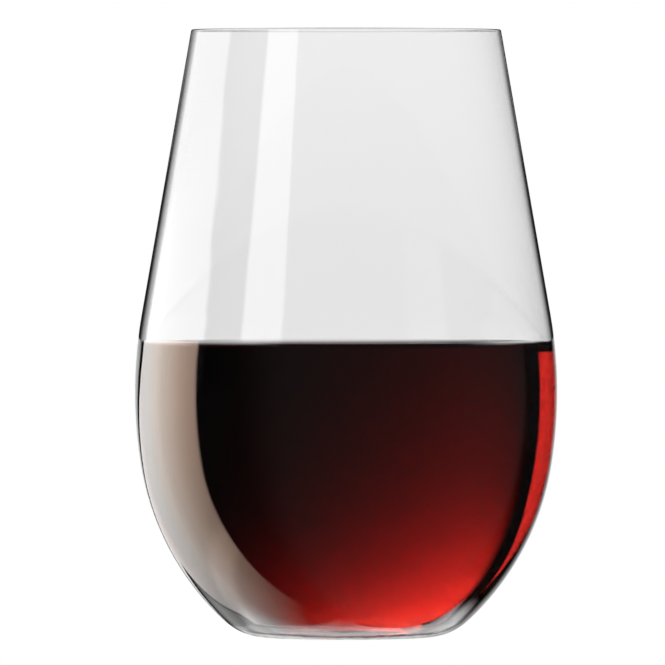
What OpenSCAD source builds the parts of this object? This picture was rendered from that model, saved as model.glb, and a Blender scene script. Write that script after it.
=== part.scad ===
// Stemless wine glass holding red wine.
// Every shape is a body of revolution about +Z. The origin is on the axis, on the
// plane of the resting ring. Millimetres.
//
// The outside is one smooth line: a straight cone runs down from the lip, a wide arc
// turns it over the belly, a tighter arc makes the lower bowl, and a small arc turns
// it under to the resting ring. Each piece of the line is tangent to the next. The
// inside follows the same belly, and thickens towards the base.

/* [Bowl] */
// Height from the table to the top of the lip
height = 124; // [116:1:132]
// Outside diameter of the cone at the height of the lip
rim_d = 63.2; // [58:0.2:70]
// Largest outside diameter
belly_d = 86.2; // [83:0.2:92]
// Height of the largest diameter above the table
belly_z = 50; // [46:0.5:54]
// Outside radius of the arc that turns the belly
belly_arc_r = 92; // [80:1:110]
// Angle below the widest point where the lower bowl begins
belly_arc_end = 9.7; // [7:0.1:13]
// Outside radius of the lower bowl's arc
lower_arc_r = 55; // [52:0.5:58]
// Outside radius of the corner where the bowl turns under
foot_arc_r = 12.3; // [9:0.1:15]

/* [Glass thickness] */
// Wall at the belly
wall = 1.1; // [0.8:0.05:2]
// Wall at the lip, which is rounded over at this thickness; the cone between thins evenly
lip_wall = 0.8; // [0.6:0.05:1.6]
// How much smaller the inside arc of the lower bowl is than an even wall would make it
lower_thicken = 3.6; // [0:0.1:5]
// Height of the inside floor above the table
base_t = 4; // [3:0.1:7]
// Inside radius of the corner between the lower bowl and the floor
inner_foot_r = 18; // [12:0.5:20]
// Diameter of the shallow hollow under the base
hollow_d = 29; // [20:0.5:31]
// Depth of that hollow at the axis
hollow_depth = 0.8; // [0.4:0.1:1.4]

/* [Wine] */
// Height of the wine's surface above the table
wine_level = 59; // [30:0.5:100]
// Film of clearance between the wine and the glass, so that the wine can turn
wine_gap = 0.2; // [0.1:0.05:0.5]

/* [Hidden] */
$fn = 120;

// Points along an arc about c, from angle a0 to a1, in n steps.
function arc(c, r, a0, a1, n) =
    [for (i = [0:n]) let (a = a0 + (a1 - a0) * i / n) c + r * [cos(a), sin(a)]];

// Belly: the arc's centre, and the angle at which the cone of the upper wall leaves it.
belly_c = [belly_d / 2 - belly_arc_r, belly_z];
to_rim = [rim_d / 2, height] - belly_c;
cone_a = atan2(to_rim.y, to_rim.x) - acos(belly_arc_r / norm(to_rim));
cone_n = [cos(cone_a), sin(cone_a)];
cone_up = [-sin(cone_a), cos(cone_a)];
lower_u = [cos(belly_arc_end), -sin(belly_arc_end)];

// Centre of the lower bowl's arc, for a surface that lies in from the outside by t.
function lower_c(t, r) = belly_c + (belly_arc_r - t - r) * lower_u;

// Centre of the corner's arc: inside the lower arc, resting on the level z0.
function foot_c(c2, r2, r3, z0) =
    [c2.x + sqrt(pow(r2 - r3, 2) - pow(z0 + r3 - c2.y, 2)), z0 + r3];

// The line of a vessel from its floor's corner up to the top of the belly arc.
// t: distance in from the outside; r2, r3: lower and corner arcs; z0: floor level.
function vessel(t, r2, r3, z0) =
    let (
        c2 = lower_c(t, r2),
        c3 = foot_c(c2, r2, r3, z0),
        a3 = atan2(c3.y - c2.y, c3.x - c2.x),
        foot = arc(c3, r3, -90, a3, 9),
        lower = arc(c2, r2, a3, -belly_arc_end, 14),
        belly = arc(belly_c, belly_arc_r - t, -belly_arc_end, cone_a, 8)
    )
    concat(foot, [for (i = [1:len(lower) - 1]) lower[i]], [for (i = [1:len(belly) - 1]) belly[i]]);

// A point on the cone, in from the outside by t, at height z.
function on_cone(t, z) =
    let (p = belly_c + (belly_arc_r - t) * cone_n)
    p + cone_up * (z - p.y) / cone_up.y;

function reversed(p) = [for (i = [len(p) - 1:-1:0]) p[i]];

// Outside, inside and wine.
outside = vessel(0, lower_arc_r, foot_arc_r, 0);
inside_lower_r = lower_arc_r - wall - lower_thicken;
inside = vessel(wall, inside_lower_r, inner_foot_r, base_t);
wine_line = vessel(
    wall + wine_gap, inside_lower_r - wine_gap, inner_foot_r - wine_gap, base_t + wine_gap
);

// Lip: a half round, standing square to the cone.
lip_r = lip_wall / 2;
lip_c = on_cone(lip_r, height - lip_r);
lip = concat(arc(lip_c, lip_r, cone_a, 90, 4), [for (p = arc(lip_c, lip_r, 90, cone_a + 180, 4)) if (p.x < lip_c.x - 0.01) p]);

// Hollow under the base: a shallow dome of this radius.
hollow_r = (pow(hollow_d / 2, 2) + pow(hollow_depth, 2)) / (2 * hollow_depth);
hollow_half = asin(hollow_d / 2 / hollow_r);
hollow = arc([0, hollow_depth - hollow_r], hollow_r, 90, 90 - hollow_half, 6);

// Wine below its surface. The surface meets the wall on the cone, or on the straight
// run between two points of the line.
function below(p, z) = [for (q = p) if (q.y < z - 0.05) q];
function radius_at(p, z) =
    z >= p[len(p) - 1].y
        ? on_cone(wall + wine_gap, z).x
        : let (i = max([for (k = [0:len(p) - 2]) if (p[k].y <= z) k]))
          p[i].x + (p[i + 1].x - p[i].x) * (z - p[i].y) / (p[i + 1].y - p[i].y);

// The glass: one piece, from the hollow under the base round to the inside floor.
module glass_bowl() {
    color([0.9, 0.93, 0.93, 0.35])
        rotate_extrude()
            polygon(concat(hollow, outside, lip, reversed(inside), [[0, base_t]]));
}

// The wine: a flat-topped body that fills the bowl to its level.
module red_wine() {
    color([0.3, 0.02, 0.04, 0.95])
        rotate_extrude()
            polygon(concat(
                [[0, base_t + wine_gap]],
                below(wine_line, wine_level),
                [[radius_at(wine_line, wine_level), wine_level], [0, wine_level]]
            ));
}

glass_bowl();
red_wine();
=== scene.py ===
"""Stemless wine glass with red wine: looks, light and camera."""

import math

import bmesh
import bpy
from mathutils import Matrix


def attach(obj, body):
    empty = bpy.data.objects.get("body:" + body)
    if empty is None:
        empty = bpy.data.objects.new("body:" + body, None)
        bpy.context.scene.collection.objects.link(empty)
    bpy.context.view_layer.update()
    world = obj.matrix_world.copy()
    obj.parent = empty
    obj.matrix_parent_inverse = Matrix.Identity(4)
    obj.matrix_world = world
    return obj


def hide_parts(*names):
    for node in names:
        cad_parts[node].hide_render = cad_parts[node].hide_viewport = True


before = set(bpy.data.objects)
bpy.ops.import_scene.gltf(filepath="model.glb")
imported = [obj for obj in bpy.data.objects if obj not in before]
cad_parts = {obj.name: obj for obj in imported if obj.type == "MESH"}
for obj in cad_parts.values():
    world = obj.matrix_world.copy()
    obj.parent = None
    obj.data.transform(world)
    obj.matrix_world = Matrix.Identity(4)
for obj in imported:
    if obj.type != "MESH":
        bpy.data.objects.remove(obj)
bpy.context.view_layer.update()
scene = bpy.context.scene

# ---------------------------------------------------------------- dimensions, millimetres
HEIGHT = 124.0
RIM_R = 31.6
BELLY_R = 43.1
BELLY_Z = 50.0
BELLY_ARC = 92.0
BELLY_END = math.radians(9.7)
LOWER_ARC = 55.0
FOOT_ARC = 12.3
WALL = 1.1
LIP_WALL = 0.8
LOWER_THICKEN = 3.6
BASE_T = 4.0
INNER_FOOT = 18.0
HOLLOW_R = 14.5
HOLLOW_DEPTH = 0.8
WINE_LEVEL = 59.15
MENISCUS_H = 1.2
MENISCUS_A = 1.6
WET = 0.15  # how far the wine's mesh reaches into the glass, so that no film of air is left
SEGMENTS = 256


# ---------------------------------------------------------------- profile
# A profile is a run of pieces. Each piece is a list of (r, z, nr, nz): a point and the direction
# that the surface faces there, so that every arc shades as the true curve.
def arc(c, r, a0, a1, n, facing=1):
    points = []
    for i in range(n + 1):
        a = a0 + (a1 - a0) * i / n
        points.append((c[0] + r * math.cos(a), c[1] + r * math.sin(a), facing * math.cos(a), facing * math.sin(a)))
    return points


def line(p, q, n, normal):
    return [
        (p[0] + (q[0] - p[0]) * i / n, p[1] + (q[1] - p[1]) * i / n, normal[0], normal[1]) for i in range(n + 1)
    ]


BELLY_C = (BELLY_R - BELLY_ARC, BELLY_Z)
_dx, _dz = RIM_R - BELLY_C[0], HEIGHT - BELLY_C[1]
CONE_A = math.atan2(_dz, _dx) - math.acos(BELLY_ARC / math.hypot(_dx, _dz))
CONE_N = (math.cos(CONE_A), math.sin(CONE_A))


def on_cone(t, z):
    px = BELLY_C[0] + (BELLY_ARC - t) * math.cos(CONE_A)
    pz = BELLY_C[1] + (BELLY_ARC - t) * math.sin(CONE_A)
    return (px - math.tan(CONE_A) * (z - pz), z)


def vessel(t, r2, r3, z0, top, facing):
    """A vessel's line from its floor's corner up to the angle top on the belly arc."""
    ux, uz = math.cos(BELLY_END), -math.sin(BELLY_END)
    k = BELLY_ARC - t - r2
    c2 = (BELLY_C[0] + k * ux, BELLY_C[1] + k * uz)
    c3z = z0 + r3
    c3 = (c2[0] + math.sqrt((r2 - r3) ** 2 - (c3z - c2[1]) ** 2), c3z)
    a3 = math.atan2(c3[1] - c2[1], c3[0] - c2[0])
    return [
        arc(c3, r3, -math.pi / 2, a3, 36, facing),
        arc(c2, r2, a3, -BELLY_END, 48, facing),
        arc(BELLY_C, BELLY_ARC - t, -BELLY_END, top, 24, facing),
    ]


def lathe(name, pieces):
    """A closed body of revolution from (points, slot) pieces that run from the axis to the axis."""
    verts, faces, normals, slots = [], [], [], []

    def ring(p):
        start = len(verts)
        if p[0] < 1e-6:
            verts.append((0.0, 0.0, p[1] / 1000))
            return [start] * SEGMENTS
        for k in range(SEGMENTS):
            a = 2 * math.pi * k / SEGMENTS
            verts.append((p[0] / 1000 * math.cos(a), p[0] / 1000 * math.sin(a), p[1] / 1000))
        return list(range(start, start + SEGMENTS))

    def facing(p, k):
        a = 2 * math.pi * k / SEGMENTS
        return (p[2] * math.cos(a), p[2] * math.sin(a), p[3])

    last = ring(pieces[0][0][0])
    for points, slot in pieces:
        for p, q in zip(points, points[1:]):
            here = ring(q)
            outward = (q[1] - p[1]) * (p[2] + q[2]) - (q[0] - p[0]) * (p[3] + q[3]) > 0
            for k in range(SEGMENTS):
                j = k + 1
                corners = [(last[k], p, k), (last[j % SEGMENTS], p, j), (here[j % SEGMENTS], q, j), (here[k], q, k)]
                if p[0] < 1e-6:
                    corners.pop(1)
                elif q[0] < 1e-6:
                    corners.pop(3)
                if not outward:
                    corners.reverse()
                faces.append([c[0] for c in corners])
                normals.extend(facing(c[1], c[2]) for c in corners)
                slots.append(slot)
            last = here
    mesh = bpy.data.meshes.new(name)
    mesh.from_pydata(verts, [], faces)
    mesh.attributes.new("dry", "FLOAT", "FACE").data.foreach_set("value", slots)
    mesh.polygons.foreach_set("use_smooth", [True] * len(faces))
    mesh.normals_split_custom_set(normals)
    mesh.update()
    obj = bpy.data.objects.new(name, mesh)
    scene.collection.objects.link(obj)
    return obj


DRY, SOAKED = 1.0, 0.0
wine_top = WINE_LEVEL + MENISCUS_H
inner_lower = LOWER_ARC - WALL - LOWER_THICKEN
edge_a = math.asin((wine_top - BELLY_Z) / (BELLY_ARC - WALL))  # where the wine's edge touches the wall

hollow_R = (HOLLOW_R**2 + HOLLOW_DEPTH**2) / (2 * HOLLOW_DEPTH)
half = math.asin(HOLLOW_R / hollow_R)
hollow = arc((0, HOLLOW_DEPTH - hollow_R), hollow_R, math.pi / 2, math.pi / 2 - half, 16, -1)
hollow[0] = (0.0, HOLLOW_DEPTH, 0.0, -1.0)
outside = vessel(0, LOWER_ARC, FOOT_ARC, 0, CONE_A, 1)
inside = vessel(WALL, inner_lower, INNER_FOOT, BASE_T, edge_a, -1)
lip_c = on_cone(LIP_WALL / 2, HEIGHT - LIP_WALL / 2)
lip = arc(lip_c, LIP_WALL / 2, CONE_A, CONE_A + math.pi, 24)
neck = arc(BELLY_C, BELLY_ARC - WALL, CONE_A, edge_a, 12, -1)
shell = [
    (hollow, DRY),
    (line(hollow[-1], outside[0][0], 2, (0, -1)), DRY),
    *((p, DRY) for p in outside),
    (line(outside[-1][-1], lip[0], 16, CONE_N), DRY),
    (lip, DRY),
    (line(lip[-1], neck[0], 16, (-CONE_N[0], -CONE_N[1])), DRY),
    (neck, DRY),
    *((p[::-1], SOAKED) for p in inside[::-1]),
    (line(inside[0][0], (0, BASE_T), 8, (0, 1)), SOAKED),
]
glass = lathe("bowl_glass", shell)

wet_a = math.asin((wine_top - BELLY_Z) / (BELLY_ARC - WALL + WET))
wet = vessel(WALL - WET, inner_lower + WET, INNER_FOOT + WET, BASE_T - WET, wet_a, 1)
r_wall = inside[-1][-1][0]
curl = []
for i in range(0, 41):
    d = 12.0 * (i / 40) ** 2
    rise = MENISCUS_H * math.exp(-d / MENISCUS_A)
    slope = rise / MENISCUS_A
    curl.append((r_wall - d, WINE_LEVEL + rise, -slope / math.hypot(slope, 1), 1 / math.hypot(slope, 1)))
body = [
    (line((0, BASE_T - WET), wet[0][0], 8, (0, -1)), SOAKED),
    *((p, SOAKED) for p in wet),
    (line(wet[-1][-1], curl[0], 1, (0, 1)), SOAKED),
    (curl, DRY),
    (line(curl[-1], (0, WINE_LEVEL), 8, (0, 1)), DRY),
]
wine = lathe("wine_body", body)

for obj, body, node, slot in (
    (glass, "glass", "glass_bowl", "clear_glass"),
    (wine, "wine", "red_wine", "red_wine"),
):
    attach(obj, body)
    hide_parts(node)


# ---------------------------------------------------------------- materials
def material(name):
    m = bpy.data.materials.new(name)
    m.use_nodes = True
    m.node_tree.nodes.clear()
    return m, m.node_tree.nodes, m.node_tree.links


def noise(nodes, links, scale, detail, seed):
    tc = nodes.new("ShaderNodeTexCoord")
    mp = nodes.new("ShaderNodeMapping")
    mp.inputs["Location"].default_value = (seed * 1.37, seed * 0.71, seed * 2.13)
    n = nodes.new("ShaderNodeTexNoise")
    n.inputs["Scale"].default_value = scale
    n.inputs["Detail"].default_value = detail
    links.new(tc.outputs["Object"], mp.inputs["Vector"])
    links.new(mp.outputs["Vector"], n.inputs["Vector"])
    return n


def map_range(nodes, links, src, lo, hi):
    r = nodes.new("ShaderNodeMapRange")
    r.inputs["From Min"].default_value = 0.3
    r.inputs["From Max"].default_value = 0.7
    r.inputs["To Min"].default_value = lo
    r.inputs["To Max"].default_value = hi
    links.new(src, r.inputs["Value"])
    return r.outputs["Result"]


def bump(nodes, links, src, strength, distance):
    b = nodes.new("ShaderNodeBump")
    b.inputs["Strength"].default_value = strength
    b.inputs["Distance"].default_value = distance
    links.new(src, b.inputs["Height"])
    return b.outputs["Normal"]


def masked(nodes, links, src, mask):
    n = nodes.new("ShaderNodeMath")
    n.operation = "MULTIPLY"
    links.new(src, n.inputs[0])
    links.new(mask, n.inputs[1])
    return n.outputs[0]


def clear(name, ior, seed, haze):
    """Clear glass or wine, with a trace of haze in patches. Where glass and wine touch there is
    hardly any step in the refractive index, so those faces reflect nothing straight on."""
    m, nodes, links = material(name)
    out = nodes.new("ShaderNodeOutputMaterial")
    bsdf = nodes.new("ShaderNodeBsdfPrincipled")
    bsdf.inputs["Base Color"].default_value = (1, 1, 1, 1)
    bsdf.inputs["Transmission Weight"].default_value = 1.0
    bsdf.inputs["IOR"].default_value = ior
    patches = noise(nodes, links, 90.0, 4.0, seed)
    links.new(map_range(nodes, links, patches.outputs["Fac"], 0.0, haze), bsdf.inputs["Roughness"])
    dry = nodes.new("ShaderNodeAttribute")
    dry.attribute_name = "dry"
    links.new(dry.outputs["Color"], bsdf.inputs["Specular Tint"])
    links.new(bsdf.outputs["BSDF"], out.inputs["Surface"])
    return m, nodes, links, out, bsdf, dry


# Glass: the slow waviness of a blown wall, and the uneven skin of the base where it was set down.
m, nodes, links, out, bsdf, dry = clear("clear_glass", 1.51, 1, 0.02)
wavy = bump(nodes, links, noise(nodes, links, 45.0, 1.0, 2).outputs["Fac"], 1.0, 0.00004)
tc = nodes.new("ShaderNodeTexCoord")
sep = nodes.new("ShaderNodeSeparateXYZ")
links.new(tc.outputs["Object"], sep.inputs["Vector"])
low = nodes.new("ShaderNodeMapRange")
low.interpolation_type = "SMOOTHSTEP"
low.inputs["From Min"].default_value = 0.0005
low.inputs["From Max"].default_value = 0.0022
low.inputs["To Min"].default_value = 1.0
low.inputs["To Max"].default_value = 0.0
links.new(sep.outputs["Z"], low.inputs["Value"])
skin = masked(nodes, links, noise(nodes, links, 240.0, 2.0, 3).outputs["Fac"], low.outputs["Result"])
rough_base = nodes.new("ShaderNodeBump")
rough_base.inputs["Strength"].default_value = 1.0
rough_base.inputs["Distance"].default_value = 0.0003
links.new(skin, rough_base.inputs["Height"])
links.new(wavy, rough_base.inputs["Normal"])
links.new(rough_base.outputs["Normal"], bsdf.inputs["Normal"])
glass.data.materials.append(m)

# Wine: faint ripples on the surface only.
m, nodes, links, out, bsdf, dry = clear("red_wine", 1.34, 4, 0.01)
ripples = masked(nodes, links, noise(nodes, links, 70.0, 1.0, 5).outputs["Fac"], dry.outputs["Fac"])
links.new(bump(nodes, links, ripples, 1.0, 0.00003), bsdf.inputs["Normal"])
vol = nodes.new("ShaderNodeVolumeAbsorption")
vol.inputs["Color"].default_value = (0.74, 0.44, 0.405, 1)
vol.inputs["Density"].default_value = 200.0
links.new(vol.outputs["Volume"], out.inputs["Volume"])
wine.data.materials.append(m)

# ---------------------------------------------------------------- floor
bm = bmesh.new()
bmesh.ops.create_circle(bm, cap_ends=True, radius=0.30, segments=96)
fm = bpy.data.meshes.new("floor")
bm.to_mesh(fm)
bm.free()
floor = bpy.data.objects.new("floor", fm)
scene.collection.objects.link(floor)
floor.location.z = -0.0002
floor.visible_glossy = False


def math_node(nodes, links, op, a, b=None, c=None):
    n = nodes.new("ShaderNodeMath")
    n.operation = op
    for i, v in enumerate((a, b, c)):
        if v is None:
            continue
        if isinstance(v, (int, float)):
            n.inputs[i].default_value = v
        else:
            links.new(v, n.inputs[i])
    return n.outputs[0]


PALE = 0.80  # the floor and the room; at a low angle the floor's glow is raised to white, a painted gloss
FLOOR_CLEAR = 0.84  # how bright the floor is through the empty bowl
FLOOR_THROUGH = 0.75  # through the wine's edge, away from the painted shade of the bowl
FLOOR_MIRRORED = 0.3  # mirrored in the glass, a painted shade: the floor's glow is set darker there
FLOOR_GUIDED = 0.5  # and led along inside the base, a painted lighter level of the floor's glow
m, nodes, links = material("floor_white")
m.cycles.emission_sampling = "NONE"
out = nodes.new("ShaderNodeOutputMaterial")
em = nodes.new("ShaderNodeEmission")
em.inputs["Color"].default_value = (1, 1, 1, 1)
lp = nodes.new("ShaderNodeLightPath")
mirrored = math_node(nodes, links, "GREATER_THAN", lp.outputs["Glossy Depth"], 0.5)
guided = math_node(nodes, links, "GREATER_THAN", lp.outputs["Glossy Depth"], 2.5)
# Painted shadow of the bowl: seen through the wine, the floor's glow fades to nothing in an ellipse around the
# bowl.
tc = nodes.new("ShaderNodeTexCoord")
beside = nodes.new("ShaderNodeMapping")
beside.inputs["Scale"].default_value = (2.2, 1, 1)
beside.inputs["Location"].default_value = (-0.03, 0, 0)
links.new(tc.outputs["Object"], beside.inputs["Vector"])
away = nodes.new("ShaderNodeVectorMath")
away.operation = "LENGTH"
links.new(beside.outputs["Vector"], away.inputs[0])
painted_bowl_shade = nodes.new("ShaderNodeMapRange")
painted_bowl_shade.interpolation_type = "SMOOTHSTEP"
painted_bowl_shade.inputs["From Min"].default_value = 0.092
painted_bowl_shade.inputs["From Max"].default_value = 0.152
painted_bowl_shade.inputs["To Min"].default_value = 0.0
painted_bowl_shade.inputs["To Max"].default_value = FLOOR_THROUGH
links.new(away.outputs["Value"], painted_bowl_shade.inputs["Value"])
soaked = math_node(nodes, links, "GREATER_THAN", lp.outputs["Transmission Depth"], 4.5)
darker = math_node(nodes, links, "SUBTRACT", painted_bowl_shade.outputs["Result"], FLOOR_CLEAR)
through = math_node(nodes, links, "MULTIPLY_ADD", soaked, darker, FLOOR_CLEAR)
# Painted shade in reflections: the floor's glow drops to FLOOR_MIRRORED where the glass mirrors it, and to
# FLOOR_GUIDED along inside the base.
painted_mirror_shade = math_node(nodes, links, "SUBTRACT", FLOOR_MIRRORED, through)
seen = math_node(nodes, links, "MULTIPLY_ADD", mirrored, painted_mirror_shade, through)
seen = math_node(nodes, links, "MULTIPLY_ADD", guided, FLOOR_GUIDED - FLOOR_MIRRORED, seen)
# Painted gloss: seen straight from the camera, the floor glows pale, rising to white at a low angle.
low_angle = nodes.new("ShaderNodeLayerWeight")
painted_gloss = nodes.new("ShaderNodeMapRange")
painted_gloss.interpolation_type = "SMOOTHSTEP"
painted_gloss.inputs["From Min"].default_value = 0.88
painted_gloss.inputs["From Max"].default_value = 0.95
painted_gloss.inputs["To Min"].default_value = PALE
painted_gloss.inputs["To Max"].default_value = 1.0
links.new(low_angle.outputs["Facing"], painted_gloss.inputs["Value"])
direct = math_node(nodes, links, "SUBTRACT", painted_gloss.outputs["Result"], seen)
strength = math_node(nodes, links, "MULTIPLY_ADD", lp.outputs["Is Camera Ray"], direct, seen)
links.new(strength, em.inputs["Strength"])
links.new(em.outputs["Emission"], out.inputs["Surface"])
floor.data.materials.append(m)

# ---------------------------------------------------------------- studio light
world = bpy.data.worlds.new("studio")
scene.world = world
world.use_nodes = True
world.cycles.sampling_method = "NONE"
wt = world.node_tree
wt.nodes.clear()
wn, wl = wt.nodes, wt.links
tc = wn.new("ShaderNodeTexCoord")
sep = wn.new("ShaderNodeSeparateXYZ")
wl.new(tc.outputs["Generated"], sep.inputs["Vector"])


def wmath(op, a, b=None, c=None):
    return math_node(wn, wl, op, a, b, c)


# heading: 0 straight behind the glass, negative to the left; lift: above the horizon; degrees
heading = wmath("MULTIPLY", wmath("ARCTAN2", sep.outputs["X"], sep.outputs["Y"]), 180 / math.pi)
lift = wmath("MULTIPLY", wmath("ARCSINE", sep.outputs["Z"]), 180 / math.pi)


def ramp(src, a, b, kind="SMOOTHSTEP"):
    """0 at a and before it, 1 at b and past it, smooth between; b may be below a."""
    n = wn.new("ShaderNodeMapRange")
    n.interpolation_type = kind
    lo, hi, v0, v1 = (a, b, 0.0, 1.0) if a < b else (b, a, 1.0, 0.0)
    n.inputs["From Min"].default_value = lo
    n.inputs["From Max"].default_value = hi
    n.inputs["To Min"].default_value = v0
    n.inputs["To Max"].default_value = v1
    wl.new(src, n.inputs["Value"])
    return n.outputs["Result"]


def straight(src, a, b):
    return ramp(src, a, b, "LINEAR")


def product(*parts):
    total = parts[0]
    for p in parts[1:]:
        total = wmath("MULTIPLY", total, p)
    return total


def plus(*parts):
    total = parts[0]
    for p in parts[1:]:
        total = wmath("ADD", total, p)
    return total


def scaled(src, k, base=0.0):
    return wmath("MULTIPLY_ADD", src, k, base)


def without(src):
    return wmath("SUBTRACT", 1.0, src)


def band(src, lo, hi, soft):
    return product(ramp(src, lo - soft / 2, lo + soft / 2), ramp(src, hi + soft / 2, hi - soft / 2))


def around(c):
    """Heading measured from c."""
    return wmath("WRAP", wmath("SUBTRACT", heading, c), 180.0, -180.0)


high = wmath("MAXIMUM", wmath("SUBTRACT", lift, 10.0), 0.0)


def big_light(h, centre):
    """A soft round light, widest and leaning to the left above, level past its top."""
    a = wmath("DIVIDE", plus(h, scaled(high, 0.25), -centre), scaled(high, 0.32, 12.3))
    b = scaled(wmath("SUBTRACT", wmath("MINIMUM", lift, 34.0), 34.0), 1 / 16.0)
    q = plus(product(a, a), product(b, b))
    return wmath("EXPONENT", scaled(q, -0.5))


def colour(r, g, b):
    n = wn.new("ShaderNodeCombineXYZ")
    for i, v in enumerate((r, g, b)):
        wl.new(v, n.inputs[i])
    return n.outputs["Vector"]


def grey(level):
    return colour(level, level, level)


# Seen through the empty bowl: a plain pale wall, a little brighter above.
wall_seen = grey(scaled(ramp(lift, -0.6, 1.0), 0.07, 0.86))

# Seen through the wine: a big soft light up behind the glass to the left, and a tall bright box
# beside it with a dark gap between.
above_floor = ramp(lift, -12, -8)
before_gap = ramp(heading, -40, -32)
strip = plus(heading, scaled(wmath("MAXIMUM", wmath("SUBTRACT", lift, 14.0), 0.0), 0.3))
strip_foot = ramp(plus(lift, scaled(wmath("ABSOLUTE", heading), 0.063)), -3.0, -2.6)
lights = plus(
    scaled(product(big_light(heading, -15.0), before_gap, above_floor), 17.5),
    scaled(product(band(heading, -45, -25, 14), band(lift, 27, 40, 8), before_gap), 5.0),
    scaled(product(ramp(strip, -44.5, -46.5), ramp(strip, -112, -62), strip_foot, ramp(lift, 48, 44)), 16.5),
    scaled(without(above_floor), 0.85),
)
led_lights = lights
for c, centre in ((-90, -12.0), (90, 8.0), (180, -12.0)):
    lights = plus(lights, scaled(product(big_light(around(c), centre), ramp(lift, 0.0, 2.0)), 12.0))
above_lights = ramp(plus(lift, scaled(ramp(heading, -18, -30), -10.0)), 30, 38)
wine_seen = grey(plus(product(lights, without(above_lights)), scaled(above_lights, 0.4)))

# How far the mirroring face leans back (tilt) tells the upper bowl from the lower one.
# Mirrored in the upper bowl: the tall box on the left, a card in front of it and a pale ceiling.
aside = wmath("ABSOLUTE", heading)
half_turn = wmath("SINE", scaled(aside, math.pi / 360))
tilt = wmath("DIVIDE", plus(lift, 0.77), wmath("MAXIMUM", scaled(half_turn, 2.0), 0.02))
beside_box = plus(
    scaled(band(heading, -143, -118, 2), 1.5),
    scaled(plus(ramp(heading, -118, -120), ramp(heading, 16, 26)), 0.55),
    scaled(product(ramp(heading, -16, -26), ramp(heading, -37, -30)), 0.5),
)
leaning = plus(heading, scaled(straight(tilt, 9.9, 10.88), -10.98, 2.02))
tall_box = product(ramp(leaning, -92.5, -89.5), ramp(heading, -29, -36))
upper = plus(scaled(tall_box, 1.42), beside_box)
upper_front = plus(product(tall_box, scaled(straight(tilt, 10.85, 9.9), 1.25, 1.25)), beside_box)

# Mirrored in the lower bowl: the same box, brightest at eye level and warmer towards its front,
# with the dark gap behind it and then the pale panel.
glow = product(
    scaled(straight(lift, -38, -2), 0.47, 0.53),
    scaled(band(lift, -43, -33, 5), 0.3, 1.0),
    straight(lift, -73, -39),
    plus(scaled(straight(heading, -8, -30), 0.23, 0.27), scaled(straight(heading, -30, -52), 0.5)),
    scaled(straight(heading, -70, -88), -0.27, 1.0),
    ramp(heading, -91, -88),
)
edge = plus(
    scaled(ramp(lift, 2, -9), 21.0, -29.0),
    scaled(ramp(lift, -10.5, -12.5), -10.0),
    scaled(straight(lift, -12, -36), -17.0),
)
past = wmath("SUBTRACT", heading, edge)
at_line = product(ramp(tilt, 5.85, 6.5), scaled(straight(aside, 43, 72), 0.4, 0.5))
box = scaled(product(glow, ramp(past, 0.6, -0.6)), 4.75)
gap = scaled(ramp(lift, -10, -14), 5.0, 4.0)
table_edge = plus(
    scaled(wmath("ABSOLUTE", plus(heading, -10.0)), -0.4, -19.0),
    scaled(wmath("MAXIMUM", plus(heading, -24.0), 0.0), -0.3),
)
table = product(
    ramp(wmath("SUBTRACT", lift, table_edge), 3, -4),
    ramp(lift, -88, -74),
    ramp(heading, 38, 29),
    ramp(heading, -56, -34),
    without(product(ramp(aside, 20, 12), ramp(lift, -58, -45))),
)
panel = product(scaled(ramp(heading, -4, 4), -0.25, 0.85), ramp(heading, 22, 10), ramp(lift, 2.5, 0.5), ramp(lift, -62, -45))
rest = plus(
    product(ramp(wmath("SUBTRACT", past, gap), 0, 4), panel, without(table)),
    scaled(table, 2.6),
    product(ramp(lift, -13, -18), band(past, 0.5, 12, 3), ramp(lift, -70, -55), without(table), scaled(ramp(lift, -17, -23), 0.35, 0.5)),
    scaled(ramp(heading, -75, -110), 0.03),
    scaled(ramp(heading, -115, -150), 0.09),
    product(ramp(heading, 62.5, 66), scaled(ramp(heading, 66, 110), 0.06, 0.06)),
)
warm = scaled(straight(heading, -42, -88), 0.40, 1.05)
cool = scaled(straight(heading, -35, -80), -0.18, 0.97)
line_ends = plus(product(ramp(heading, 40, 55), ramp(heading, 115, 80)), product(ramp(heading, -86, -92), ramp(heading, -150, -115)))
rest = plus(rest, scaled(product(box, at_line), 0.95), scaled(product(ramp(tilt, 6.15, 6.55), line_ends), 4.4))
foot = product(ramp(aside, 13, 7), ramp(lift, -38, -30), ramp(lift, -13, -19))
base_glow = product(ramp(aside, 34, 20), band(lift, -66, -44, 6))
corner = product(band(heading, 33, 39.5, 4), band(lift, -54, -36, 5))
rest = plus(rest, scaled(foot, 0.8), scaled(base_glow, 1.6), scaled(corner, 2.2))
lower = (plus(product(box, warm), rest), plus(box, rest), plus(product(box, cool), rest))

dry = ramp(plus(tilt, scaled(straight(aside, 43, 72), -0.35)), 6.27, 6.55)
front = colour(*(plus(product(v, without(dry)), product(upper_front, dry)) for v in lower))

# Mirrored inside the wall, dark where its edge turns away, and led along inside the base.
turned = product(band(tilt, 4.5, 14, 2), ramp(aside, 34, 28))
dark_edge = product(turned, scaled(ramp(aside, 16, 27), 0.45, 0.06))
sides = product(ramp(aside, 29, 33), upper, scaled(ramp(lift, 22, 32), -0.65, 1.0))
below = product(ramp(aside, 29, 33), ramp(lift, 2, -1))
inner = grey(
    plus(
        dark_edge,
        scaled(product(without(turned), ramp(aside, 33, 29)), 0.5),
        product(sides, ramp(lift, -1, 2)),
        scaled(below, 0.45),
    )
)
behind = product(ramp(aside, 26, 18), band(lift, -3, 14, 3))
led = grey(product(plus(dark_edge, scaled(without(turned), 0.45)), scaled(behind, -0.85, 1.0)))
wine_led = grey(plus(scaled(product(led_lights, ramp(lift, 46, 36)), 1.2), 0.4))


def background(colour):
    n = wn.new("ShaderNodeBackground")
    if isinstance(colour, tuple):
        n.inputs["Color"].default_value = colour
    else:
        wl.new(colour, n.inputs["Color"])
    return n.outputs["Background"]


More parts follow.
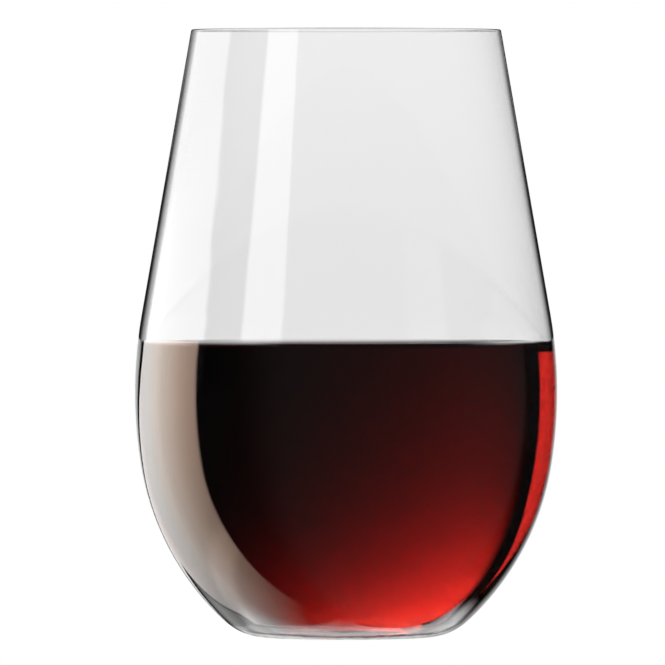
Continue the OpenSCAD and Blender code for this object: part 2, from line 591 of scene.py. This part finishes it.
def choose(fac, a, b):
    n = wn.new("ShaderNodeMixShader")
    wl.new(fac, n.inputs["Fac"])
    wl.new(a, n.inputs[1])
    wl.new(b, n.inputs[2])
    return n.outputs["Shader"]


lp = wn.new("ShaderNodeLightPath")
mirrored = wmath("GREATER_THAN", lp.outputs["Glossy Depth"], 0.5)
guided = wmath("GREATER_THAN", lp.outputs["Glossy Depth"], 2.5)
outer = wmath("LESS_THAN", lp.outputs["Transmission Depth"], 0.5)
soaked = wmath("GREATER_THAN", lp.outputs["Transmission Depth"], 4.5)  # the way led through wine
within = choose(guided, background(inner), background(led))
deep = product(soaked, ramp(lift, 26, 34))
within = choose(deep, within, background(wine_led))
seen = choose(soaked, background(wall_seen), background(wine_seen))
studio = choose(mirrored, seen, choose(outer, within, background(front)))
wo = wn.new("ShaderNodeOutputWorld")
white_wall = product(ramp(aside, 14, 6), ramp(wmath("ABSOLUTE", lift), 6.5, 3.5))
room = background(grey(scaled(white_wall, 1 - PALE, PALE)))
wl.new(choose(lp.outputs["Is Camera Ray"], studio, room), wo.inputs["Surface"])

# ---------------------------------------------------------------- camera
PX_PER_MM = 4.898
CAM_D = 2.58
cam_data = bpy.data.cameras.new("camera")
cam = bpy.data.objects.new("camera", cam_data)
scene.collection.objects.link(cam)
scene.camera = cam
aim = (-13.6 / PX_PER_MM / 1000, 0.0, (636.9 - 332.5) / PX_PER_MM / 1000)
cam.location = (aim[0], -CAM_D, 0.0948)
pitch = math.atan2(cam.location.z - aim[2], CAM_D)
cam.rotation_euler = (math.pi / 2 - pitch, 0, 0)
cam_data.sensor_width = 36.0
cam_data.lens = 36.0 * math.hypot(CAM_D, cam.location.z - aim[2]) / (665 / PX_PER_MM / 1000)
cam_data.clip_start = 0.05
cam_data.clip_end = 200.0

# ---------------------------------------------------------------- render look
scene.view_settings.view_transform = "Standard"
scene.view_settings.look = "None"
scene.cycles.max_bounces = 32
scene.cycles.transmission_bounces = 32
scene.cycles.glossy_bounces = 16
scene.cycles.transparent_max_bounces = 16
scene.cycles.use_denoising = True

bpy.context.view_layer.update()
